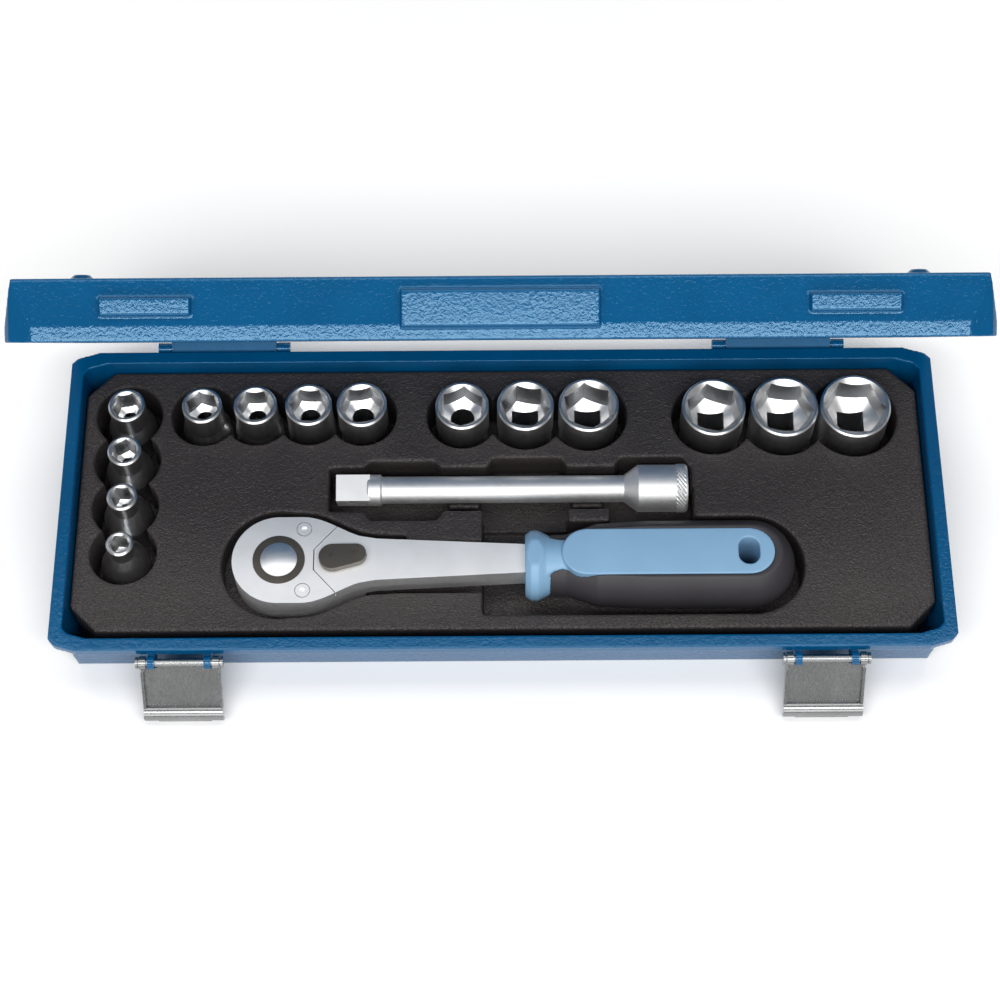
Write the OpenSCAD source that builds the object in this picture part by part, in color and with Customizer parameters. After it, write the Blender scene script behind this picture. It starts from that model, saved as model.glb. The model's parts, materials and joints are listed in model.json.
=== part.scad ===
// Socket wrench set with a 3/8 inch square drive, in a sheet-steel case.
// Millimetres. X runs along the case, Y from its front to its hinges, Z up.
// The origin is the centre of the case's underside. The lid is drawn open and the
// latches lie open in front; every tool stands or lies in its pocket.

/* [Case] */
// Width of the case over its rim
case_w = 312; // [304:1:380]
// Depth of the case over its rim
case_d = 117; // [117:1:150]
// Height of the base, from its underside to the top of its rim
base_h = 27; // [25:0.5:34]
// Height of the lid
lid_h = 20; // [19:0.5:30]
// Thickness of the sheet steel
steel = 1; // [0.8:0.1:1.2]
// How far the rolled rim stands out from the base's walls
rim_out = 3.5; // [2.5:0.25:4]
// Height of the rolled rim
rim_h = 4; // [3:0.25:4.25]
// Length of the slanting part of each corner
corner_long = 9.5; // [7:0.5:14]
// How far that part falls back
corner_short = 2.2; // [1:0.2:4]
// How far the pressed walls of base and lid lean in
draft = 2.5; // [0:0.25:2.5]
// Angle at which the lid is drawn, from closed
lid_open = 60; // [0:5:100]

/* [Hinges] */
// Distance of each hinge from the middle of the case
hinge_x = 101; // [60:1:120]
// Width of the lid's strap
strap_w = 38; // [20:1:50]
// Radius of the hinge knuckles
knuckle_r = 2.2; // [2:0.1:2.6]
// Radius of the hinge pins
hinge_pin_r = 1.2; // [1:0.1:1.4]

/* [Latches] */
// Distance of each latch from the middle of the case
latch_x = 111; // [70:1:125]
// Width of a latch
latch_w = 27.5; // [24:0.5:36]
// Height of the catch's top above the latch axle
catch_w = 19; // [16:0.5:20]
// Thickness of the latch plate
latch_t = 0.9; // [0.8:0.1:1.1]
// Radius of the latch axle
latch_axle_r = 1.4; // [1.2:0.1:1.5]
// Angle at which the latches are drawn, from closed
latch_open = 144; // [0:1:144]

/* [Tray] */
// Depth of the tray's top below the rim
tray_drop = 5; // [4:0.5:7]
// Thickness of the tray's sheet
tray_t = 1; // [0.6:0.1:1.2]
// Gap between the tray and the case at the sides and the back
tray_gap = 0.5; // [0.3:0.1:1.5]
// Gap between the tray and the front wall
tray_front_gap = 4.5; // [2:0.5:5]
// Gap round a socket in its pocket
pocket_gap = 3.2; // [2.5:0.1:3.6]

/* [Sockets] */
// Side of the square drive
drive = 9.5; // [9.4:0.05:9.6]
// Length of a socket
socket_l = 28; // [25:0.5:31]
// Diameter of the drive end of the smaller sockets
drive_end_d = 17.2; // [16.6:0.1:17.6]
// Length of a socket's drive end
drive_end_l = 12; // [11:0.5:14]
// Row of sockets: distance from the middle of the case to the back
row_y = 34; // [32:0.5:36]
// Column of sockets: distance from the middle of the case to the left
column_x = 134.5; // [133:0.5:137]
// Pitch of the column
column_pitch = 18.2; // [17.9:0.1:18.5]

/* [Extension] */
// Length of the extension bar
ext_l = 125; // [120:1:128]
// Diameter of its shaft
ext_d = 9.6; // [9:0.1:11]
// Diameter of its socket end
ext_end_d = 17.5; // [16.5:0.1:18.5]

/* [Ratchet] */
// Length of the ratchet over all
ratchet_l = 197; // [192:1:200]
// Radius of the ratchet's head
head_r = 16.4; // [15.8:0.1:17]
// Thickness of the head
head_t = 13; // [12.5:0.1:14]
// Teeth on the drive wheel
teeth = 72; // [36:12:72]
// Width of the grip
grip_w = 31; // [28:0.5:33]
// Thickness of the grip
grip_t = 24; // [21:0.5:25]
// Width of the light panel in the grip
panel_w = 17.3; // [14:0.1:18.5]

/* [Hidden] */
$fn = 64;
clear = 0.3;          // gap between pieces that don't touch
fit = 0.05;           // radial clearance of a running fit
eps = 0.01;           // cuts pass a face by this much
half_w = case_w / 2;
half_d = case_d / 2;
tray_z = base_h - tray_drop;

blue_paint = [0.04, 0.38, 0.58];
tray_brown = [0.20, 0.18, 0.18];
chrome = [0.80, 0.80, 0.80];
bare_steel = [0.55, 0.56, 0.56];
gunmetal = [0.30, 0.28, 0.25];
grip_blue = [0.47, 0.70, 0.88];
grip_black = [0.17, 0.16, 0.17];

SIZES = [6:19];

// ---- Shared shapes ----

// Plan of the case, set in by a distance. Each corner has a slanting part and a short cut.
corner_cut = 2.3;
function plan_quarter(x, y) = [
    [x, y - corner_short - corner_cut],
    [x - 2, y - corner_short],
    [x - corner_long, y]
];
module plan(inset) {
    q = plan_quarter(half_w - inset, half_d - inset);
    polygon(concat(
        q,
        [for (i = [2:-1:0]) [-q[i].x, q[i].y]],
        [for (i = [0:2]) -q[i]],
        [for (i = [2:-1:0]) [q[i].x, -q[i].y]]
    ));
}
// Solid of the plan between two heights
module plan_slab(inset, z0, z1) {
    translate([0, 0, z0]) linear_extrude(z1 - z0) plan(inset);
}
// Box from two opposite corners
module block(a, b) {
    translate(a) cube(b - a);
}
// Flat plate in the YZ plane, centred on x = 0 and this wide
module side_plate(width) {
    translate([-width / 2, 0, 0]) rotate([90, 0, 90]) linear_extrude(width) children();
}
// Flat plate in the XZ plane, centred on y = 0 and this wide
module end_plate(width) {
    rotate([90, 0, 0]) linear_extrude(width, center = true) children();
}
// Trapezium between two heights, this far from the middle at each
module trapezium(half0, half1, z0, z1) {
    polygon([[-half0, z0], [-half1, z1], [half1, z1], [half0, z0]]);
}
// Solid of the plan between two heights, with its four sides set in by in0 below and in1 above
module pressed(inset, z0, z1, in0, in1) {
    x = half_w - inset;
    y = half_d - inset;
    intersection() {
        plan_slab(inset + min(in0, in1), z0, z1);
        side_plate(case_w) trapezium(y - in0, y - in1, z0, z1);
        end_plate(case_d) trapezium(x - in0, x - in1, z0, z1);
    }
}
// Bar of radius r along X between two places
module x_bar(r, x0, x1) {
    translate([x0, 0, 0]) rotate([0, 90, 0]) cylinder(r = r, h = x1 - x0);
}
// Coil spring along Z, from z = 0, as one swept wire
module coil_spring(r, wire, turns, height) {
    steps = 10;
    sides = 6;
    rings = turns * steps;
    rise = height - 2 * wire;
    points = [for (i = [0:rings]) for (k = [0:sides - 1])
        let (a = 360 * i / steps, b = 360 * k / sides, w = r + wire * cos(b))
        [w * cos(a), w * sin(a), wire + rise * i / rings + wire * sin(b)]];
    walls = [for (i = [0:rings - 1]) for (k = [0:sides - 1])
        let (n = (k + 1) % sides)
        [i * sides + k, (i + 1) * sides + k, (i + 1) * sides + n, i * sides + n]];
    ends = [[for (k = [0:sides - 1]) k],
        [for (k = [sides - 1:-1:0]) rings * sides + k]];
    polyhedron(points, concat(walls, ends), convexity = 10);
}

// ---- Case ----

hinge_out = 2.6;      // hinge axis behind the rim
hinge_drop = 2.2;     // hinge axis below the top of the rim
hinge_y = half_d + hinge_out;
hinge_z = base_h - hinge_drop;
lid_gap = 0.2;        // gap between the closed lid and the rim
lid_z = base_h + lid_gap;
hem_w = 1.8;          // width of the lid's folded hem
hem_h = 5.3;          // height of that hem
wall_in = rim_out + steel;

// How far the walls have leant in at a height: the base from its rim down, the lid from its
// hem up
function base_lean(z) = draft * (base_h - z) / base_h;
function lid_lean(z) = draft * max(0, z - lid_z - hem_h) / (lid_h - hem_h);

module base_shell() color(blue_paint) {
    above = base_h + 1;
    difference() {
        pressed(rim_out, 0, base_h, draft, 0);
        pressed(wall_in, steel, above, base_lean(steel), base_lean(above));
    }
    difference() {
        plan_slab(0, base_h - rim_h, base_h);
        plan_slab(rim_out + steel * 0.8, base_h - rim_h - 1, above);
    }
}

// Turns what is drawn on the closed lid to the angle at which the lid is drawn
module on_lid() {
    translate([0, hinge_y, hinge_z]) rotate([-lid_open, 0, 0])
        translate([0, -hinge_y, -hinge_z]) children();
}

axle_out = 2.6;       // axle in front of the rim
axle_drop = 5;        // axle below the top of the rim
axle_y = -half_d - axle_out;
axle_z = base_h - axle_drop;
catch_out = 2;        // how far a catch stands out from the lid
catch_len = 28.5;
catch_h = 5.6;
panel_len = 62;       // raised panel in the middle of the lid's front
panel_h = 11.5;
panel_out = 1.6;
foot_x = 133;         // raised feet on the lid's top
foot_in = 14;
foot_r = 4;
foot_h = 1.5;

// Raised block on the lid's front, with its underside at z
module front_block(x, length, z, height, out) {
    block([x - length / 2, -half_d - out, z],
        [x + length / 2, -half_d + lid_lean(z + height) + steel / 2, z + height]);
}
module lid_shell() color(blue_paint) on_lid() {
    hem_z = lid_z + hem_h;
    top_z = lid_z + lid_h;
    difference() {
        union() {
            plan_slab(0, lid_z, hem_z);
            pressed(0, hem_z - eps, top_z, 0, draft);
        }
        plan_slab(hem_w, lid_z - 1, hem_z);
        pressed(steel, hem_z - eps, top_z - steel, 0, lid_lean(top_z - steel));
    }
    for (side = [-1, 1]) {
        front_block(side * latch_x, catch_len, axle_z + catch_w - catch_h, catch_h, catch_out);
    }
    front_block(0, panel_len, lid_z + (lid_h - panel_h) / 2, panel_h, panel_out);
    for (x = [-foot_x, foot_x]) for (y = [-1, 1])
        translate([x, y * (half_d - foot_in), lid_z + lid_h - eps])
            cylinder(r1 = foot_r, r2 = foot_r - foot_h, h = foot_h);
}

leaf_w = strap_w + 10;
strap_h = 15;
strap_t = 1.4;
leaf_h = 13;

// Straps ride on the lid: a plate on its back wall that is rolled round the pin
module hinge_strap(side) color(blue_paint) on_lid() translate([side * hinge_x, 0, 0])
    difference() {
        z0 = lid_z + clear;
        z1 = z0 + strap_h;
        back = half_d + strap_t;
        union() {
            side_plate(strap_w) polygon([
                [half_d, z0], [half_d, lid_z + hem_h], [half_d - lid_lean(z1), z1],
                [back - lid_lean(z1), z1], [back, lid_z + hem_h], [back, z0]
            ]);
            block([-strap_w / 2, hinge_y - knuckle_r, hinge_z], [strap_w / 2, back, z0 + 1]);
            translate([0, hinge_y, hinge_z]) x_bar(knuckle_r, -strap_w / 2, strap_w / 2);
        }
        translate([0, hinge_y, hinge_z])
            x_bar(hinge_pin_r + fit, -strap_w / 2 - 1, strap_w / 2 + 1);
    }

// Leaves are fixed under the rim, with a short knuckle at each end of the strap
module hinge_leaf(side) color(blue_paint) translate([side * hinge_x, 0, 0]) {
    wall_y = half_d - rim_out;
    web_z = hinge_z - knuckle_r;
    low_z = web_z - leaf_h;
    side_plate(leaf_w) polygon([
        [wall_y - base_lean(low_z), low_z], [wall_y - base_lean(low_z) + steel, low_z],
        [wall_y - base_lean(web_z) + steel, web_z], [wall_y - base_lean(web_z), web_z]
    ]);
    for (end = [-1, 1]) {
        inner = end * (strap_w / 2 + clear);
        x0 = min(inner, end * leaf_w / 2);
        x1 = max(inner, end * leaf_w / 2);
        difference() {
            union() {
                block([x0, wall_y, web_z - steel],
                    [x1, hinge_y, min(web_z + steel / 2, base_h - rim_h)]);
                translate([0, hinge_y, hinge_z]) x_bar(knuckle_r, x0, x1);
            }
            translate([0, hinge_y, hinge_z]) x_bar(hinge_pin_r, x0 - 1, x1 + 1);
        }
    }
}
module hinge_pin(side) color(bare_steel) translate([side * hinge_x, hinge_y, hinge_z])
    x_bar(hinge_pin_r, -leaf_w / 2, leaf_w / 2);

// ---- Latches ----

latch_knuckle_r = latch_axle_r + latch_t;
lug_x = 9.7;          // lugs from the middle of the latch
lug_w = 2.4;
lug_clear = 0.6;
lug_h = 7;            // how far a lug runs down the wall below the axle
axle_l = latch_w + 2.5;

module latch_lugs(side) color(blue_paint) translate([side * latch_x, 0, 0])
    for (x = [-lug_x, lug_x]) translate([x, 0, 0]) difference() {
        side_plate(lug_w) {
            translate([axle_y, axle_z]) circle(latch_knuckle_r);
            polygon([
                [-half_d + rim_out + base_lean(base_h - rim_h), base_h - rim_h],
                [-half_d + rim_out + base_lean(axle_z - lug_h), axle_z - lug_h],
                [axle_y, axle_z - latch_knuckle_r],
                [axle_y, base_h - rim_h]
            ]);
        }
        translate([0, axle_y, axle_z]) x_bar(latch_axle_r, -lug_w, lug_w);
    }
module latch_axle(side) color(bare_steel) translate([side * latch_x, axle_y, axle_z]) {
    x_bar(latch_axle_r, -axle_l / 2, axle_l / 2);
    for (end = [-1, 1]) translate([end * (axle_l / 2 - 0.4), 0, 0]) x_bar(2, -0.4, 0.4);
}

// The latch's section, upright as when it is closed, with the axle at the origin:
// a flat plate, a hook that bulges over the catch, and a lip that turns out.
hook_r = 2.7;         // mean radius of the hook's bend
plate_u = -latch_axle_r - latch_t / 2;
hook_w = catch_w + 2.25;
lip_w = 18.5;         // width of the lip
module latch_hook() {
    intersection() {
        translate([plate_u, hook_w]) difference() {
            circle(hook_r + latch_t / 2);
            circle(hook_r - latch_t / 2);
        }
        translate([plate_u, 0]) square([hook_r * 2, hook_w + hook_r * 2]);
    }
}
module latch_lip() {
    z0 = hook_w + hook_r - latch_t / 2;
    polygon([
        [plate_u - 0.8, z0 + 1.6], [plate_u, z0],
        [plate_u, z0 + latch_t], [plate_u - 0.3, z0 + 2]
    ]);
}
module latch_plate(side) color(bare_steel) translate([side * latch_x, axle_y, axle_z])
    rotate([latch_open, 0, 0]) {
        plate_top = hook_w - hook_r + latch_t / 2;
        flange_x = latch_w / 2 - latch_t / 2;
        difference() {
            side_plate(latch_w) {
                translate([plate_u - latch_t / 2, 2]) square([latch_t, plate_top - 2]);
                latch_hook();
            }
            for (x = [-lug_x, lug_x]) translate([x, 0, 0])
                block([-lug_w / 2 - lug_clear, -5, -5],
                    [lug_w / 2 + lug_clear, 5, latch_knuckle_r + lug_clear]);
        }
        side_plate(lip_w) latch_lip();
        for (end = [-1, 1]) translate([end * flange_x, 0, 0]) {
            side_plate(latch_t) translate([plate_u, 4.5]) square([2, plate_top - 5]);
        }
        for (end = [-1, 1]) {
            inner = end * (lug_x + lug_w / 2 + lug_clear);
            x0 = min(inner, end * latch_w / 2);
            x1 = max(inner, end * latch_w / 2);
            difference() {
                union() {
                    x_bar(latch_knuckle_r, x0, x1);
                    block([x0, plate_u - latch_t / 2, 0], [x1, plate_u + latch_t / 2, 3.5]);
                }
                x_bar(latch_axle_r + fit, x0 - 1, x1 + 1);
            }
        }
    }

// ---- Sockets ----

function socket_d(s) = 2.2 + 1.21 * s;
function drive_d(s) = s < 13 ? drive_end_d : socket_d(s) - 1;
// Places of the sockets: a column of four, then rows of four, three and three
column_slant = 0.4;   // step of the column to the right for each smaller socket
function socket_at(s) =
    s < 10 ? [-column_x + (9 - s) * column_slant, row_y + 1 - (9 - s) * column_pitch] :
    s < 14 ? [-107.4 + (s - 10) * 19.1, row_y + 0.8] :
    s < 17 ? [-14.1 + (s - 14) * 22.7, row_y] :
    [76.1 + (s - 17) * 25.4, row_y - 1.2];
// How each hexagon is turned, from the 6 mm socket up
HEX_TURN = [0, 2, 26, 10, 44, 2, 58, 8, 25, 50, 39, 42, 54, 57];
socket_floor = steel + clear + tray_t;
drive_hole_l = drive_end_l - 0.5;

// Web between the square hole and the hexagon: a round hole runs through it in the smaller
// sockets, and the square hole in the larger ones
function web(s) = s < 15 ? 5.7 : 1.8;
function through_r(s) = s < 15 ? s * 0.31 : drive / 2;
floor_slope = 0.6;    // rise of the hexagon's drilled floor towards its walls
lip = 1;              // width of the ring left round a socket's mouth
// Hexagon with its sloping floor and the wide chamfer at its mouth
module hexagon_hole(s) {
    hex_r = s / 2 / cos(30) + fit;
    floor_z = drive_hole_l + web(s);
    mouth_h = socket_d(s) / 2 - lip - s / 2;
    intersection() {
        rotate(HEX_TURN[s - 6]) cylinder(r = hex_r, h = socket_l + 1, $fn = 6);
        rotate_extrude() polygon([
            [0, floor_z], [through_r(s), floor_z],
            [hex_r + 1, floor_z + (hex_r + 1 - through_r(s)) * floor_slope],
            [hex_r + 1, socket_l + 1], [0, socket_l + 1]
        ]);
    }
    translate([0, 0, socket_l - mouth_h])
        cylinder(r1 = s / 2, r2 = s / 2 + mouth_h + eps, h = mouth_h + eps);
}
module socket(s) color(chrome)
    translate([socket_at(s).x, socket_at(s).y, socket_floor]) {
        r0 = drive_d(s) / 2;
        r1 = socket_d(s) / 2;
        edge = 0.6;
        neck = drive_end_l + min(9, abs(r0 - r1) * 2.2 + 1);
        square_l = drive_hole_l + (s < 15 ? 0 : web(s) + 1.5);
        difference() {
            rotate_extrude() polygon([
                [0, 0], [r0 - edge, 0], [r0, edge], [r0, drive_end_l], [r1, neck],
                [r1, socket_l - edge], [r1 - edge, socket_l], [0, socket_l]
            ]);
            hexagon_hole(s);
            translate([0, 0, -1]) linear_extrude(square_l + 1)
                square(drive + 2 * fit, center = true);
            if (s < 15) cylinder(r = through_r(s), h = socket_l);
        }
    }

// ---- Extension bar ----

ext_y = 6.4;
ext_x0 = -59;
ext_floor = 9;
ext_z = ext_floor + ext_end_d / 2 + fit;
ext_tip = 11;         // length of the square end
ext_collar = 4.7;
ext_end_l = 17.5;     // length of the socket end with its ring
ext_cone = 5;
ball_r = 1.8;
ball_out = 0.55;      // how far a ball stands out from its face
ball_from_end = 5.2;

// Places children at the bar's square end, with Z along the bar
module on_bar() {
    translate([ext_x0, ext_y, ext_z]) rotate([0, 90, 0]) children();
}
// The bar lies turned, so that one face of its square end looks forward and a little up; the
// ball is in that face
bar_turn = 15;
module on_ball_face() {
    translate([ext_x0 + ball_from_end, ext_y, ext_z]) rotate([90 - bar_turn, 0, 0]) children();
}
module extension_bar() color(chrome) difference() {
    r = ext_d / 2;
    cone_z = ext_l - ext_end_l - ext_cone;
    union() {
        on_bar() rotate(bar_turn) translate([-drive / 2, -drive / 2, 0])
            cube([drive, drive, ext_tip + 1]);
        on_bar() rotate_extrude() polygon([
            [0, ext_tip], [r + 0.4, ext_tip], [r + 0.8, ext_tip + 0.5],
            [r + 0.8, ext_tip + ext_collar], [r, ext_tip + ext_collar + 0.6], [r, cone_z],
            [ext_end_d / 2 - 0.3, cone_z + ext_cone], [ext_end_d / 2 - 0.3, ext_l - 4.6],
            [ext_end_d / 2, ext_l - 4.2], [ext_end_d / 2, ext_l - 0.5],
            [ext_end_d / 2 - 0.5, ext_l], [0, ext_l]
        ]);
    }
    on_bar() translate([0, 0, ext_l - drive_hole_l]) rotate(bar_turn)
        translate([-drive / 2 - fit, -drive / 2 - fit, 0])
            cube([drive + 2 * fit, drive + 2 * fit, drive_hole_l + 1]);
    on_ball_face() translate([0, 0, -drive / 2 + 1]) cylinder(r = ball_r + fit, h = drive);
}
module extension_ball() color(chrome)
    on_ball_face() translate([0, 0, drive / 2 - ball_r + ball_out]) sphere(ball_r);
module extension_ball_spring() color(bare_steel)
    on_ball_face() translate([0, 0, -drive / 2 + 1.1])
        coil_spring(1.2, 0.3, 4, drive - 1.1 - 2 * ball_r + ball_out - fit);

// ---- Tray ----

// Middle of the ratchet's head, and the floors and heights that the ratchet lies at
ratchet_x = -78;
ratchet_y = -24.3;
grip_floor = 7.2;
ratchet_z = grip_floor + grip_t / 2 + fit;
head_z0 = ratchet_z - head_t / 2;
head_z1 = ratchet_z + head_t / 2;
head_floor = head_z0 - 0.1;
well_floor = socket_floor;

// Places of the pockets are measured from the middle of the case
module rect(x0, x1, y0, y1, grow) {
    translate([x0 - grow, y0 - grow]) square([x1 - x0 + 2 * grow, y1 - y0 + 2 * grow]);
}
// Bay with slanting sides between y0 and y1
module bay(x0, x1, y0, y1, grow) {
    slope = 3;
    up = y1 > y0 ? grow : -grow;
    polygon([
        [x0 - slope - grow, y0], [x0 - grow, y1 + up],
        [x1 + grow, y1 + up], [x1 + slope + grow, y0]
    ]);
}
module socket_pockets(grow) {
    for (s = SIZES) translate(socket_at(s))
        circle(max(drive_d(s), socket_d(s)) / 2 + pocket_gap + grow);
}
ext_x1 = ext_x0 + ext_l;
shaft_half = 7.1;     // half width of the slot where it holds the shaft
module extension_pocket(grow) {
    top = ext_y + shaft_half;
    low = ext_y - shaft_half - 3;
    rect(ext_x0 - 2.5, ext_x1 + 1.5, low, top, grow);
    bay(ext_x0 + 12, ext_x0 + 35, top - 1, ext_y + 9.5, grow);
    bay(ext_x0 + 12, ext_x0 + 36, low + 1, ext_y - 13.8, grow);
    bay(ext_x0 + 56, ext_x0 + 80, top - 1, ext_y + 10.6, grow);
    bay(ext_x1 - 23.5, ext_x1 - 1.5, top - 1, ext_y + 10.6, grow);
}
link_x = -7;          // left edge of the recess that joins the two pockets
module link_recess(grow) {
    rect(link_x, ext_x1 + 2, ratchet_y, ext_y - 1, grow);
}
ratchet_gap = 4;
module head_pocket(grow) {
    translate([ratchet_x, ratchet_y]) circle(head_r + ratchet_gap + grow);
    translate([ratchet_x, ratchet_y]) polygon(concat(
        [for (x = [0:4:44]) [x, neck_half(x) + ratchet_gap - 0.5 + grow]],
        [for (x = [44:-4:0]) [x, -neck_half(x) - ratchet_gap + 0.5 - grow]]
    ));
    rect(ratchet_x + 40, link_x + 5, ratchet_y - 11, ratchet_y + 8.4, grow);
}
grip_pocket_r = 18.6;
module grip_pocket(grow) {
    x1 = ratchet_x - head_r + ratchet_l + 3.2 - grip_pocket_r;
    translate([x1, ratchet_y - 1]) circle(grip_pocket_r + grow);
    rect(link_x, x1, ratchet_y - 1 - grip_pocket_r, ratchet_y - 1 + grip_pocket_r, grow);
}
module drive_well(grow) {
    translate([ratchet_x, ratchet_y]) circle(8.8 + grow);
}
// Everything that the tray's pockets take up, or their outer skins when they are grown
module tray_pockets(grow) {
    top = tray_z + (grow > 0 ? -eps : 1);
    translate([0, 0, socket_floor - grow]) linear_extrude(top - socket_floor + grow)
        socket_pockets(grow);
    translate([0, 0, ext_floor - grow]) linear_extrude(top - ext_floor + grow) {
        extension_pocket(grow);
        link_recess(grow);
    }
    translate([0, 0, head_floor - grow]) linear_extrude(top - head_floor + grow)
        head_pocket(grow);
    translate([0, 0, grip_floor - grow]) linear_extrude(top - grip_floor + grow)
        grip_pocket(grow);
    translate([0, 0, well_floor - grow]) linear_extrude(top - well_floor + grow)
        drive_well(grow);
}
tray_in = wall_in + tray_gap + base_lean(tray_z - tray_t);
tray_lean = base_lean(steel) - base_lean(tray_z - tray_t);
module tray_plan(inset) {
    x = half_w - tray_in - inset;
    y1 = half_d - tray_in - inset;
    y0 = -half_d + wall_in + tray_front_gap + inset;
    c = corner_long;
    polygon([
        [-x, y0 + c], [-x + c, y0], [x - c, y0], [x, y0 + c],
        [x, y1 - c], [x - c, y1], [-x + c, y1], [-x, y1 - c]
    ]);
}
// Block of the tray's plan whose ends and back lean in like the case's walls
module tray_block(inset) {
    x = half_w - tray_in - inset;
    y = half_d - tray_in - inset;
    intersection() {
        translate([0, 0, steel]) linear_extrude(tray_z - steel - eps) tray_plan(inset);
        side_plate(case_w) trapezium(y - tray_lean, y, steel, tray_z);
        end_plate(case_d) trapezium(x - tray_lean, x, steel, tray_z);
    }
}
// Saddles hold the bar's shaft between the bays
module saddle(x0, x1) {
    difference() {
        block([x0, ext_y - ext_d / 2 - 1, ext_floor - eps],
            [x1, ext_y + ext_d / 2 + 1, ext_z - 3]);
        translate([0, ext_y, ext_z]) x_bar(ext_d / 2 + clear, x0 - 1, x1 + 1);
    }
}
island = [[23.4, -8.4], [38.1, -3.2]];
module tool_tray() color(tray_brown) {
    difference() {
        union() {
            translate([0, 0, tray_z - tray_t]) linear_extrude(tray_t) tray_plan(0);
            difference() {
                tray_block(0);
                tray_block(tray_t);
            }
            tray_pockets(tray_t);
        }
        tray_pockets(0);
    }
    saddle(ext_x0 + 40, ext_x0 + 51);
    saddle(ext_x0 + 84, ext_x0 + 95);
    block([island[0].x, island[0].y, ext_floor - eps], [island[1].x, island[1].y, tray_z]);
}

// ---- Ratchet ----

cover_t = 2.5;
cover_z = head_z1 - cover_t;
neck_t = 9.5;         // thickness of the neck, flush with the head's top
neck_w0 = 7.9;        // half width of the neck beside the head
neck_w1 = 5.4;        // half width of the neck at the grip
blend_x0 = 8;
blend_x1 = 34;
grip_x0 = 86;         // start of the grip, from the middle of the head
grip_x1 = ratchet_l - head_r;
tang_l = 62;          // length, half width and thickness of the neck's tang in the grip
tang_half = 4.5;
tang_t = 7;
wheel_r = 11.3;
tooth_h = 0.6;
hub_r = 9.1;
lower_hub_r = 8.3;
button_r = 6.4;
stem_r = 1.5;
lever_x = 18.8;
lever_turn = 8;
lever_r0 = 4.7;
lever_r1 = 3.6;
lever_l = 8.3;
lever_t = 2.8;
pin_r = 0.9;          // sunk pin marks in the lever
shaft_r = 2.5;
screw_at = [8.6, 11.7];
screw_r = 2.5;
screw_gap = 0.25;     // gap round a screw's head
joint_gap = 0.4;      // width of the cover's joint line
thread_r = 1.3;

// Half width of the head and neck at a distance from the middle of the head
function neck_half(x) =
    x <= blend_x0 ? head_r :
    x <= blend_x1 ? neck_w0 + (head_r - neck_w0) *
        (0.5 + 0.5 * cos(180 * (x - blend_x0) / (blend_x1 - blend_x0))) :
    neck_w0 + (neck_w1 - neck_w0) * (x - blend_x1) / (grip_x0 - blend_x1);

module at_head(z) {
    translate([ratchet_x, ratchet_y, z]) children();
}
// Outline of the head and its blend into the neck
module head_outline() {
    polygon(concat(
        [for (a = [90:5:270]) head_r * [cos(a), sin(a)]],
        [for (x = [2:2:blend_x1]) [x, -neck_half(x)]],
        [for (x = [blend_x1:-2:2]) [x, neck_half(x)]]
    ));
}
// The part of the head that the cover closes, with its pointed joint line
module cover_side(gap) {
    polygon([
        [-head_r - 1, -head_r - 1], [24.5 - gap, -head_r - 1], [12.4 - gap, -3.9],
        [12.4 - gap, 3.9], [24.5 - gap, head_r + 1], [-head_r - 1, head_r + 1]
    ]);
}
// Toothed outline of the drive wheel; grow opens it up for the pawl
module wheel_outline(grow) {
    step = 360 / teeth;
    polygon([for (i = [0:2 * teeth - 1])
        let (a = i * step / 2, r = wheel_r + grow - (i % 2) * tooth_h)
        r * [cos(a), sin(a)]]);
}
pawl_x0 = 9.4;
pawl_x1 = 14.6;
pawl_half = 5;
wheel_z0 = head_z0 + 2.2;
wheel_z1 = cover_z - 0.2;

module ratchet_body() color(chrome) at_head(0) difference() {
    union() {
        translate([0, 0, head_z0]) linear_extrude(head_t) difference() {
            head_outline();
            translate([blend_x1 - 4, -head_r]) square([8, 2 * head_r]);
        }
        translate([0, 0, head_z1 - neck_t]) linear_extrude(neck_t) polygon([
            [blend_x1 - 6, neck_half(blend_x1 - 6)], [blend_x1, neck_w0], [grip_x0, neck_w1],
            [grip_x0, -neck_w1], [blend_x1, -neck_w0],
            [blend_x1 - 6, -neck_half(blend_x1 - 6)]
        ]);
        block([grip_x0 - 1, -tang_half, ratchet_z - tang_t / 2],
            [grip_x0 + tang_l, tang_half, ratchet_z + tang_t / 2]);
    }
    translate([0, 0, cover_z]) linear_extrude(cover_t + 1) cover_side(0);
    translate([0, 0, wheel_z0 - 0.1]) cylinder(r = wheel_r + clear, h = head_t);
    translate([0, 0, head_z0 - 1]) cylinder(r = lower_hub_r + fit, h = head_t);
    block([pawl_x0 - 2, -pawl_half - 0.2, wheel_z0 - 0.1],
        [lever_x + shaft_r + 0.5, pawl_half + 0.2, cover_z - 0.4]);
    block([pawl_x0 - 2, -pawl_half - 0.2, cover_z - 0.5], [12.4, pawl_half + 0.2, cover_z + 1]);
    translate([lever_x, 0, cover_z - 1]) cylinder(r = shaft_r + fit, h = cover_t + 2);
    for (side = [-1, 1]) translate([screw_at.x, side * screw_at.y, cover_z - 5])
        cylinder(r = thread_r, h = 6);
}
module head_cover() color(chrome) at_head(cover_z) difference() {
    intersection() {
        linear_extrude(cover_t) head_outline();
        translate([0, 0, -1]) linear_extrude(cover_t + 2) cover_side(joint_gap);
    }
    translate([0, 0, -1]) cylinder(r = hub_r + fit, h = cover_t + 2);
    for (side = [-1, 1]) translate([screw_at.x, side * screw_at.y, 0]) {
        translate([0, 0, -1]) cylinder(r = thread_r, h = cover_t + 2);
        translate([0, 0, 1]) cylinder(r = screw_r + screw_gap, h = cover_t);
    }
}
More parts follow.
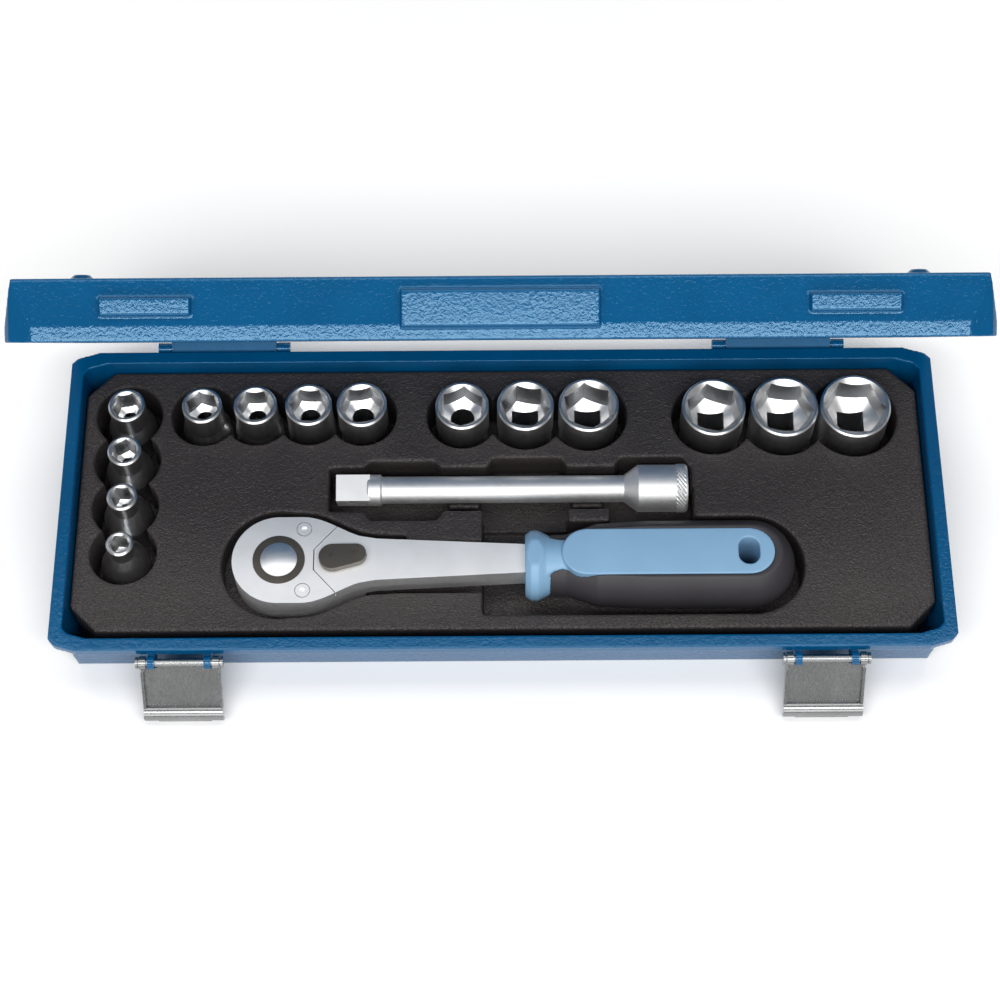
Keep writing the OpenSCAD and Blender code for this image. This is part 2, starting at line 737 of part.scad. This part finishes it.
module cover_screws() color(chrome) at_head(cover_z)
    for (side = [-1, 1]) translate([screw_at.x, side * screw_at.y, 0]) difference() {
        union() {
            translate([0, 0, 1]) cylinder(r = screw_r, h = cover_t - 1);
            translate([0, 0, -4.8]) cylinder(r = thread_r, h = 6);
        }
        translate([0, 0, cover_t - 0.9]) cylinder(r = 1.2, h = 1, $fn = 6);
    }

// The grip's outline is turned, then made flat above and below
module grip_slab(thickness) {
    intersection() {
        translate([0, 0, ratchet_z]) rotate([0, 90, 0]) children();
        block([0, -grip_w, ratchet_z - thickness / 2],
            [ratchet_l, grip_w, ratchet_z + thickness / 2]);
    }
}
collar_r = 12.4;
waist_r = 9.6;
waist_x = grip_x0 + 13;
module grip_panel() {
    r = panel_w / 2;
    x0 = grip_x0 + 12.7;
    x1 = grip_x1 - 8;
    hull() {
        translate([x0 + r, 0]) circle(r, $fn = 32);
        translate([x1 - r, 0]) circle(r, $fn = 32);
    }
}
// Outline of the light fishtail between the collar and the panel
module grip_tail() {
    edge = [[4, 10], [7, 7.8], [10, 6.1], [13, 5.4], [15.5, 6.1], [18.5, 7.9]];
    polygon(concat(
        [for (p = edge) [grip_x0 + p.x, p.y]],
        [for (i = [5:-1:0]) [grip_x0 + edge[i].x, -edge[i].y]]
    ));
}
hang_x = grip_x1 - 17;
module hang_hole(grow) {
    for (y = [-1.4, 1.4]) translate([hang_x, y]) circle(3.7 + grow);
    translate([hang_x - 3.7 - grow, -1.4]) square([7.4 + 2 * grow, 2.8]);
}
// Light plastic core: collar, waist and the panel that shows above and below
module grip_core() {
    grip_slab(grip_t - 1) rotate_extrude() polygon([
        [0, grip_x0], [collar_r - 1.5, grip_x0], [collar_r, grip_x0 + 2],
        [collar_r, grip_x0 + 4.5], [waist_r, waist_x - 3], [waist_r, waist_x + 5],
        [0, waist_x + 5]
    ]);
    intersection() {
        tail_r = waist_r + 1.4;
        grip_slab(grip_t) rotate_extrude() polygon([
            [0, grip_x0 + 3], [tail_r, grip_x0 + 3], [tail_r, waist_x + 1.2],
            [tail_r + 3, waist_x + 9], [0, waist_x + 9]
        ]);
        translate([0, 0, ratchet_z - grip_t]) linear_extrude(2 * grip_t) grip_tail();
    }
    translate([0, 0, ratchet_z - grip_t / 2]) linear_extrude(grip_t) grip_panel();
}
module grip_shell() color(grip_blue) at_head(0) difference() {
    grip_core();
    block([grip_x0 - 1, -tang_half, ratchet_z - tang_t / 2],
        [grip_x0 + tang_l, tang_half, ratchet_z + tang_t / 2]);
    translate([0, 0, ratchet_z - grip_t]) linear_extrude(2 * grip_t) hang_hole(0);
}
// Soft black sleeve moulded over the core
module grip_sleeve() color(grip_black) at_head(0) difference() {
    r = grip_w / 2;
    grip_slab(grip_t - 0.4) rotate_extrude() polygon(concat(
        [[0, grip_x0 + 7], [collar_r - 2, grip_x0 + 7], [waist_r + 1.2, waist_x - 2],
            [waist_r + 1.2, waist_x + 1], [r - 1, waist_x + 12], [r, waist_x + 30]],
        [for (a = [0:6:90]) [r * cos(a), grip_x1 - r + r * sin(a)]]
    ));
    grip_core();
}

// Heights in the drive: end of the square, drive ball, and floors under button and spring
square_z0 = well_floor + 0.8;
drive_ball_z = square_z0 + 4.2;
button_seat = head_z1 - 4;
button_travel = 2;
spring_r = 3.6;
spring_seat = button_seat - 6;
ball_travel = 0.8;

module drive_wheel() color(gunmetal) at_head(0) difference() {
    union() {
        translate([0, 0, wheel_z0]) linear_extrude(wheel_z1 - wheel_z0) wheel_outline(0);
        translate([0, 0, wheel_z1 - eps]) cylinder(r = hub_r, h = head_z1 - wheel_z1 + 0.3);
        translate([0, 0, head_z0 - 0.3]) cylinder(r = lower_hub_r, h = wheel_z0 - head_z0 + 0.4);
        translate([0, 0, square_z0]) linear_extrude(head_z0 - square_z0)
            square(drive, center = true);
    }
    translate([0, 0, button_seat]) cylinder(r = button_r + fit, h = head_t);
    translate([0, 0, square_z0 + 0.8]) cylinder(r = stem_r + fit, h = head_t * 2);
    translate([0, 0, spring_seat]) cylinder(r = spring_r, h = head_t);
    translate([0, 0, drive_ball_z]) rotate([90, 0, 0]) cylinder(r = ball_r + fit, h = drive);
}

// Domed button on a stem whose lower end has a groove that lets the ball in
module release_button() color(chrome) at_head(0) {
    dome_r = 24;
    top = head_z1 + 1.2;
    cap_z = button_seat + button_travel + 0.1;
    intersection() {
        translate([0, 0, top - dome_r]) sphere(dome_r);
        translate([0, 0, cap_z]) cylinder(r = button_r, h = 10);
    }
    // The cone below the ball's place lets the ball in as the button goes down
    rotate_extrude() polygon([
        [0, drive_ball_z - 1.2], [stem_r, drive_ball_z - 1.2], [stem_r, drive_ball_z],
        [stem_r - ball_travel, drive_ball_z + button_travel],
        [stem_r - ball_travel, drive_ball_z + 4], [stem_r, drive_ball_z + 5],
        [stem_r, cap_z + eps], [0, cap_z + eps]
    ]);
}
module button_spring() color(bare_steel) at_head(spring_seat + fit)
    coil_spring(2.8, 0.35, 4, button_seat + button_travel - spring_seat);
module drive_ball() color(chrome)
    at_head(drive_ball_z) translate([0, -drive / 2 + ball_r - ball_out, 0]) sphere(ball_r);

// Reversing lever on the neck, with its shaft down to the pawl
module selector_lever() color(gunmetal) at_head(0) translate([lever_x, 0, 0])
    rotate(lever_turn) {
        difference() {
            translate([0, 0, head_z1 + 0.1]) linear_extrude(lever_t) hull() {
                circle(lever_r0, $fn = 32);
                translate([lever_l, 0]) circle(lever_r1, $fn = 32);
            }
            for (x = [0, lever_l]) translate([x, 0, head_z1 + lever_t - 0.3])
                cylinder(r = pin_r, h = 1);
        }
        translate([0, 0, wheel_z0 + 0.2]) cylinder(r = shaft_r, h = head_z1 - wheel_z0);
    }
module pawl() color(bare_steel) at_head(wheel_z0 + 0.1)
    linear_extrude(cover_z - wheel_z0 - 1) difference() {
        translate([pawl_x0, -pawl_half]) square([pawl_x1 - pawl_x0, 2 * pawl_half]);
        wheel_outline(0.08);
        translate([pawl_x1 - 1, -1.1]) square([2, 2.2]);
    }
module pawl_spring() color(bare_steel) at_head(ratchet_z - 1)
    translate([pawl_x1 - 0.9, 0, 0]) rotate([0, 90, 0])
        coil_spring(0.7, 0.2, 3, lever_x - shaft_r - pawl_x1 + 0.8);

// ---- Nodes ----

base_shell();
tool_tray();
hinge_leaf(-1);  // hinge_leaf_left
hinge_leaf(1);  // hinge_leaf_right
hinge_pin(-1);  // hinge_pin_left
hinge_pin(1);  // hinge_pin_right
latch_lugs(-1);  // latch_lugs_left
latch_lugs(1);  // latch_lugs_right
latch_axle(-1);  // latch_axle_left
latch_axle(1);  // latch_axle_right
lid_shell();
hinge_strap(-1);  // hinge_strap_left
hinge_strap(1);  // hinge_strap_right
latch_plate(-1);  // latch_plate_left
latch_plate(1);  // latch_plate_right
socket(6);  // socket_06mm
socket(7);  // socket_07mm
socket(8);  // socket_08mm
socket(9);  // socket_09mm
socket(10);  // socket_10mm
socket(11);  // socket_11mm
socket(12);  // socket_12mm
socket(13);  // socket_13mm
socket(14);  // socket_14mm
socket(15);  // socket_15mm
socket(16);  // socket_16mm
socket(17);  // socket_17mm
socket(18);  // socket_18mm
socket(19);  // socket_19mm
extension_bar();
extension_ball();
extension_ball_spring();
ratchet_body();
head_cover();
cover_screws();
grip_shell();
grip_sleeve();
drive_wheel();
release_button();
button_spring();
drive_ball();
selector_lever();
pawl();
pawl_spring();
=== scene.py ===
"""Looks of a socket wrench set in its steel case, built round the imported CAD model."""
import json
import math

import bpy
from mathutils import Matrix, Vector


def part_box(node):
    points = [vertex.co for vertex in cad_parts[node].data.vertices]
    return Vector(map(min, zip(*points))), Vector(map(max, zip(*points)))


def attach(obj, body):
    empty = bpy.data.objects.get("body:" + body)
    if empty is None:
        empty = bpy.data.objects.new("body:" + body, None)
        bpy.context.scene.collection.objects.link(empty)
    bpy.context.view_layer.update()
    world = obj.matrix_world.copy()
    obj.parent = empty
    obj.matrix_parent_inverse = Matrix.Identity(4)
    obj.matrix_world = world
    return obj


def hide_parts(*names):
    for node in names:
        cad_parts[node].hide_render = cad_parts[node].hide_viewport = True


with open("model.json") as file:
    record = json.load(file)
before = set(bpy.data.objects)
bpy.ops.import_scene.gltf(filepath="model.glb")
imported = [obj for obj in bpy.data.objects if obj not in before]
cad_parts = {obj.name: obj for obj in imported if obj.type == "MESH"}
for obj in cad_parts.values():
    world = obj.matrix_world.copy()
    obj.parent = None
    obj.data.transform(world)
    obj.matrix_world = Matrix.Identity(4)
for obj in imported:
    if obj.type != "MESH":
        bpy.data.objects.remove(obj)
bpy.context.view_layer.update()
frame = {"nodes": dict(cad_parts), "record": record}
MM = 0.001
NODES = frame["nodes"]


# ---- Camera ----

CAMERA_ELEVATION = math.radians(64)
CAMERA_AZIMUTH = math.radians(-0.25)
CAMERA_ROLL = math.radians(-0.61)
CAMERA_DISTANCE = 794 * MM
CAMERA_TARGET = Vector((-0.7, 1.1, 20)) * MM
CAMERA_LENS = 80.3
CAMERA_SENSOR = 36


def make_camera():
    az, el = CAMERA_AZIMUTH, CAMERA_ELEVATION
    forward = Vector((math.sin(az) * math.cos(el), math.cos(az) * math.cos(el), -math.sin(el)))
    right = Vector((math.cos(az), -math.sin(az), 0))
    up = right.cross(forward)
    roll_right = right * math.cos(CAMERA_ROLL) + up * math.sin(CAMERA_ROLL)
    roll_up = up * math.cos(CAMERA_ROLL) - right * math.sin(CAMERA_ROLL)
    data = bpy.data.cameras.new("camera")
    data.sensor_width = CAMERA_SENSOR
    data.lens = CAMERA_LENS
    camera = bpy.data.objects.new("camera", data)
    bpy.context.scene.collection.objects.link(camera)
    turn = Matrix((roll_right, roll_up, -forward)).transposed().to_4x4()
    camera.matrix_world = Matrix.Translation(CAMERA_TARGET - forward * CAMERA_DISTANCE) @ turn
    bpy.context.scene.camera = camera


make_camera()


# ---- Materials ----

class Nodes:
    """A material's node tree, with short calls for the textures that the looks share."""

    def __init__(self, name):
        self.material = bpy.data.materials.new(name)
        self.material.use_nodes = True
        self.tree = self.material.node_tree
        self.shader = self.tree.nodes["Principled BSDF"]
        self.position = self.tree.nodes.new("ShaderNodeTexCoord").outputs["Object"]

    def add(self, kind, inputs):
        made = self.tree.nodes.new(kind)
        for key, value in inputs.items():
            self.put(made.inputs[key], value)
        return made

    def put(self, socket, value):
        if isinstance(value, bpy.types.NodeSocket):
            self.tree.links.new(value, socket)
        else:
            socket.default_value = value

    def noise(self, scale, detail, roughness=0.5, distortion=0.0, stretch=None):
        place = self.position
        if stretch:
            place = self.add("ShaderNodeMapping", {"Vector": place, "Scale": stretch}).outputs[0]
        return self.add("ShaderNodeTexNoise", {
            "Vector": place, "Scale": scale, "Detail": detail, "Roughness": roughness,
            "Distortion": distortion,
        }).outputs["Fac"]

    def spread(self, factor, low, high, start=0.0, end=1.0):
        """A number that runs from low to high as factor runs from start to end."""
        return self.add("ShaderNodeMapRange", {
            "Value": factor, "From Min": start, "From Max": end, "To Min": low, "To Max": high,
        }).outputs[0]

    def blend(self, factor, dark, light, start=0.3, end=0.7):
        """A colour that runs from dark to light as factor runs from start to end."""
        made = self.add("ShaderNodeValToRGB", {"Fac": factor})
        first, last = made.color_ramp.elements
        first.position, first.color = start, (*dark, 1)
        last.position, last.color = end, (*light, 1)
        return made.outputs["Color"]

    def bump(self, height, distance, strength=1.0, under=None):
        inputs = {"Height": height, "Distance": distance, "Strength": strength}
        if under is not None:
            inputs["Normal"] = under
        return self.add("ShaderNodeBump", inputs).outputs["Normal"]

    def finish(self, **sockets):
        for key, value in sockets.items():
            self.put(self.shader.inputs[key.replace("_", " ")], value)
        return self.material


def grey(value):
    return (value, value, value)


def paint_material(name, rough_low, rough_high):
    """Deep blue powder coat with a wrinkled, hammered skin, whose gloss is blue too."""
    n = Nodes(name)
    wrinkle = n.bump(n.noise(scale=900, detail=1, distortion=0.8), distance=0.075 * MM)
    skin = n.bump(n.noise(scale=2600, detail=1), distance=0.008 * MM, under=wrinkle)
    colour = n.blend(n.noise(scale=60, detail=3), dark=(0.0, 0.066, 0.175),
                     light=(0.0, 0.074, 0.195))
    rough = n.spread(n.noise(scale=300, detail=3), rough_low, rough_high)
    return n.finish(Base_Color=colour, Roughness=rough, Normal=skin, IOR=1.5,
                    Specular_IOR_Level=0.65, Specular_Tint=(0.5, 0.8, 1.0, 1))


def tray_material():
    """Thermoformed black-brown plastic with a leathery pebble grain."""
    n = Nodes("tray_plastic")
    grain = n.bump(n.noise(scale=850, detail=2, distortion=1.2), distance=0.55 * MM)
    fine = n.bump(n.noise(scale=2600, detail=1), distance=0.03 * MM, under=grain)
    colour = n.blend(n.noise(scale=40, detail=3), dark=(0.03, 0.025, 0.025),
                     light=(0.038, 0.032, 0.031))
    rough = n.spread(n.noise(scale=500, detail=3), low=0.4, high=0.52)
    return n.finish(Base_Color=colour, Roughness=rough, Normal=fine, IOR=1.5)


def metal_material(name, dark, light, rough_low, rough_high, depth, stretch=None):
    """Plated or bare metal whose sheen varies a little, with very fine marks."""
    n = Nodes(name)
    marks = n.noise(scale=700, detail=4, roughness=0.6, stretch=stretch)
    colour = n.blend(n.noise(scale=90, detail=4), dark, light)
    rough = n.spread(marks, rough_low, rough_high, start=0.3, end=0.7)
    return n.finish(Base_Color=colour, Roughness=rough, Metallic=1.0,
                    Normal=n.bump(marks, distance=depth, strength=0.5))


def grip_material(name, dark, light, rough_low, rough_high, scale, depth):
    """Moulded plastic or rubber with a fine skin."""
    n = Nodes(name)
    skin = n.bump(n.noise(scale, detail=2), distance=depth, strength=0.6)
    colour = n.blend(n.noise(scale=50, detail=3), dark, light)
    rough = n.spread(n.noise(scale=400, detail=3), rough_low, rough_high)
    return n.finish(Base_Color=colour, Roughness=rough, Normal=skin)


def floor_material():
    n = Nodes("floor_matte")
    rough = n.spread(n.noise(scale=8, detail=2), low=0.75, high=0.85)
    return n.finish(Base_Color=(*grey(0.95), 1), Roughness=rough)


LOOKS = {
    "blue_paint": paint_material("blue_paint", rough_low=0.11, rough_high=0.16),
    "tray_plastic": tray_material(),
    "tool_chrome": metal_material(
        "tool_chrome", dark=grey(0.78), light=grey(0.84), rough_low=0.28, rough_high=0.34,
        depth=0.002 * MM),
    "bare_steel": metal_material(
        "bare_steel", dark=(0.26, 0.265, 0.265), light=(0.31, 0.32, 0.32), rough_low=0.2,
        rough_high=0.3, depth=0.004 * MM, stretch=(6, 1, 1)),
    "gunmetal": metal_material(
        "gunmetal", dark=(0.11, 0.1, 0.085), light=(0.15, 0.135, 0.115), rough_low=0.35,
        rough_high=0.45, depth=0.004 * MM),
    "grip_light": grip_material(
        "grip_light", dark=(0.2, 0.365, 0.54), light=(0.215, 0.39, 0.57), rough_low=0.38,
        rough_high=0.48, scale=1500, depth=0.01 * MM),
    "grip_dark": grip_material(
        "grip_dark", dark=(0.026, 0.024, 0.028), light=(0.034, 0.031, 0.036), rough_low=0.5,
        rough_high=0.62, scale=2200, depth=0.04 * MM),
}
THIN_PAINT = paint_material("thin_paint", rough_low=0.5, rough_high=0.6)
SATIN = metal_material(
    "satin_chrome", dark=grey(0.88), light=grey(0.95), rough_low=0.52, rough_high=0.6,
    depth=0.003 * MM)
BRIGHT = metal_material(
    "bright_chrome", dark=grey(0.9), light=grey(0.95), rough_low=0.34, rough_high=0.4,
    depth=0.001 * MM)


def paint(piece, material):
    piece.data.materials.clear()
    piece.data.materials.append(material)


# ---- Pieces made from the CAD nodes ----

SHARP_ANGLE = math.radians(30)
EDGE_SEGMENTS = 3

# Share of the faces that a remeshed piece keeps.
KEEP = 0.3

# Remeshed pieces: body, material slot, voxel in mm, smoothing passes.
MOULDED = {
    "tool_tray": ("case", "tray_plastic", 0.45, 20),
    "base_shell": ("case", "blue_paint", 0.5, 3),
    "lid_shell": ("lid", "blue_paint", 0.5, 4),
    "grip_shell": ("ratchet", "grip_light", 0.35, 6),
    "grip_sleeve": ("ratchet", "grip_dark", 0.35, 6),
}

# Widths in mm of the rounded edges, by how the node's name starts.
EDGES = {
    "ratchet_body": 0.7, "head_cover": 0.3, "cover_screws": 0.2, "drive_wheel": 0.3,
    "selector_lever": 0.6, "latch_plate": 0.3, "latch_lugs": 0.3, "hinge_strap": 0.4,
    "hinge_leaf": 0.3, "socket": 0.25,
}

# Nodes whose surface differs from the rest of their material slot.
FINISHES = {
    "release_button": BRIGHT, "ratchet_body": SATIN, "head_cover": SATIN,
    "cover_screws": SATIN, "hinge_strap_left": THIN_PAINT, "hinge_strap_right": THIN_PAINT,
}

# Knurled ring at the socket end of the extension bar.
BAR_EDGE = 0.3 * MM
RING_LENGTH = 4.1 * MM
RING_INSET = 0.5 * MM
RING_MARGIN = 0.3 * MM
RING_TEETH = 66
RING_ROWS = 7
SKIN = 0.1 * MM
TOOTH = 0.3 * MM
TIP = 0.02 * MM


def shade_smooth(piece):
    piece.data.polygons.foreach_set("use_smooth", [True] * len(piece.data.polygons))


def smooth_by_angle(piece):
    shade_smooth(piece)
    piece.data.set_sharp_from_angle(angle=SHARP_ANGLE)


def soft_edges(piece, width):
    """Rounds a piece's edges with a modifier, so a CAD node keeps its own mesh."""
    smooth_by_angle(piece)
    bevel = piece.modifiers.new("edges", "BEVEL")
    bevel.width = width
    bevel.segments = EDGE_SEGMENTS
    bevel.limit_method = "ANGLE"
    bevel.angle_limit = SHARP_ANGLE
    bevel.harden_normals = True
    bevel.use_clamp_overlap = True


def apply_modifiers(piece):
    bpy.context.view_layer.update()
    shaped = piece.evaluated_get(bpy.context.evaluated_depsgraph_get())
    mesh = bpy.data.meshes.new_from_object(shaped)
    piece.modifiers.clear()
    piece.data = mesh


def moulded(node, body, slot, voxel, passes):
    """A copy of a CAD node with every edge rounded as in moulded or coated sheet."""
    piece = bpy.data.objects.new(node + "_skin", NODES[node].data.copy())
    bpy.context.scene.collection.objects.link(piece)
    remesh = piece.modifiers.new("remesh", "REMESH")
    remesh.mode = "VOXEL"
    remesh.voxel_size = voxel
    soften = piece.modifiers.new("soften", "SMOOTH")
    soften.factor = 0.5
    soften.iterations = passes
    if KEEP < 1:
        thin = piece.modifiers.new("thin", "DECIMATE")
        thin.ratio = KEEP
    apply_modifiers(piece)
    shade_smooth(piece)
    paint(piece, LOOKS[slot])
    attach(piece, body)
    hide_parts(node)


def knurled_bar():
    """The extension bar, sunk under a diamond-knurled ring at its socket end."""
    (_, y0, z0), (x_end, y1, z1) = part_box("extension_bar")
    y_mid, z_mid = (y0 + y1) / 2, (z0 + z1) / 2
    radius = (y1 - y0) / 2
    bar = bpy.data.objects.new("extension_bar_skin", NODES["extension_bar"].data.copy())
    bpy.context.scene.collection.objects.link(bar)
    for vertex in bar.data.vertices:
        out = math.hypot(vertex.co.y - y_mid, vertex.co.z - z_mid)
        if vertex.co.x > x_end - RING_LENGTH - RING_MARGIN and out > radius - SKIN:
            shrink = (radius - TOOTH) / out
            vertex.co.y = y_mid + (vertex.co.y - y_mid) * shrink
            vertex.co.z = z_mid + (vertex.co.z - z_mid) * shrink
    soft_edges(bar, BAR_EDGE)
    ring = ring_mesh("extension_ring", x_end - RING_LENGTH, x_end - RING_INSET, y_mid, z_mid,
                     radius)
    for piece in (bar, ring):
        paint(piece, SATIN)
        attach(piece, "extension")
    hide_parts("extension_bar")


def ring_mesh(name, x0, x1, y_mid, z_mid, radius):
    """A band round the X axis whose points stand high and low in turn."""
    points, faces = [], []
    for row in range(RING_ROWS):
        x = x0 + (x1 - x0) * row / (RING_ROWS - 1)
        at_end = row in (0, RING_ROWS - 1)
        for i in range(RING_TEETH):
            angle = 2 * math.pi * i / RING_TEETH
            r = radius - (TOOTH if at_end or (i + row) % 2 else TIP)
            points.append((x, y_mid + r * math.cos(angle), z_mid + r * math.sin(angle)))
    for row in range(RING_ROWS - 1):
        for i in range(RING_TEETH):
            a, b = row * RING_TEETH + i, row * RING_TEETH + (i + 1) % RING_TEETH
            faces.append((a, b, b + RING_TEETH, a + RING_TEETH))
    mesh = bpy.data.meshes.new(name)
    mesh.from_pydata(points, [], faces)
    mesh.update()
    ring = bpy.data.objects.new(name, mesh)
    bpy.context.scene.collection.objects.link(ring)
    return ring


for row in frame["record"]["subparts"]:
    paint(NODES[row["node"]], LOOKS[row["material_slot"]])
    smooth_by_angle(NODES[row["node"]])
for node, (body, slot, voxel, passes) in MOULDED.items():
    moulded(node, body, slot, voxel * MM, passes)
for name, piece in NODES.items():
    for start, width in EDGES.items():
        if name.startswith(start):
            soft_edges(piece, width * MM)
for name, material in FINISHES.items():
    paint(NODES[name], material)
knurled_bar()


# ---- Stage ----

FLOOR_SIZE = 8
WORLD_STRENGTH = 0.2

# Place and aim in metres, width and depth in metres, power in watts.
SOFTBOXES = {
    "overhead": ((0.0, 0.14, 0.95), (0, 0, 0.02), (1.5, 0.3), 3.3),
    "back": ((0.0, 1.1, 0.9), (0, 0.4, 0), (1.8, 0.4), 6),
    "front": ((0.0, -0.62, 1.0), (0, 0, 0.02), (1.6, 0.27), 11),
    "low": ((0.0, -1.1, 0.5), (0, 0, 0.02), (1.6, 0.5), 6),
}


def make_floor():
    bpy.ops.mesh.primitive_plane_add(size=FLOOR_SIZE)
    floor = bpy.context.object
    floor.name = "floor"
    paint(floor, floor_material())


def make_world():
    world = bpy.data.worlds.new("studio")
    bpy.context.scene.world = world
    world.use_nodes = True
    inputs = world.node_tree.nodes["Background"].inputs
    inputs["Color"].default_value = (1, 1, 1, 1)
    inputs["Strength"].default_value = WORLD_STRENGTH


def softbox(name, place, target, size, power):
    data = bpy.data.lights.new(name, "AREA")
    data.shape = "RECTANGLE"
    data.size, data.size_y = size
    data.energy = power
    light = bpy.data.objects.new(name, data)
    bpy.context.scene.collection.objects.link(light)
    light.location = place
    light.rotation_euler = (Vector(target) - Vector(place)).to_track_quat("-Z", "Y").to_euler()


make_floor()
make_world()
for name, (place, target, size, power) in SOFTBOXES.items():
    softbox(name, place, target, size, power)
bpy.context.scene.view_settings.view_transform = "Standard"
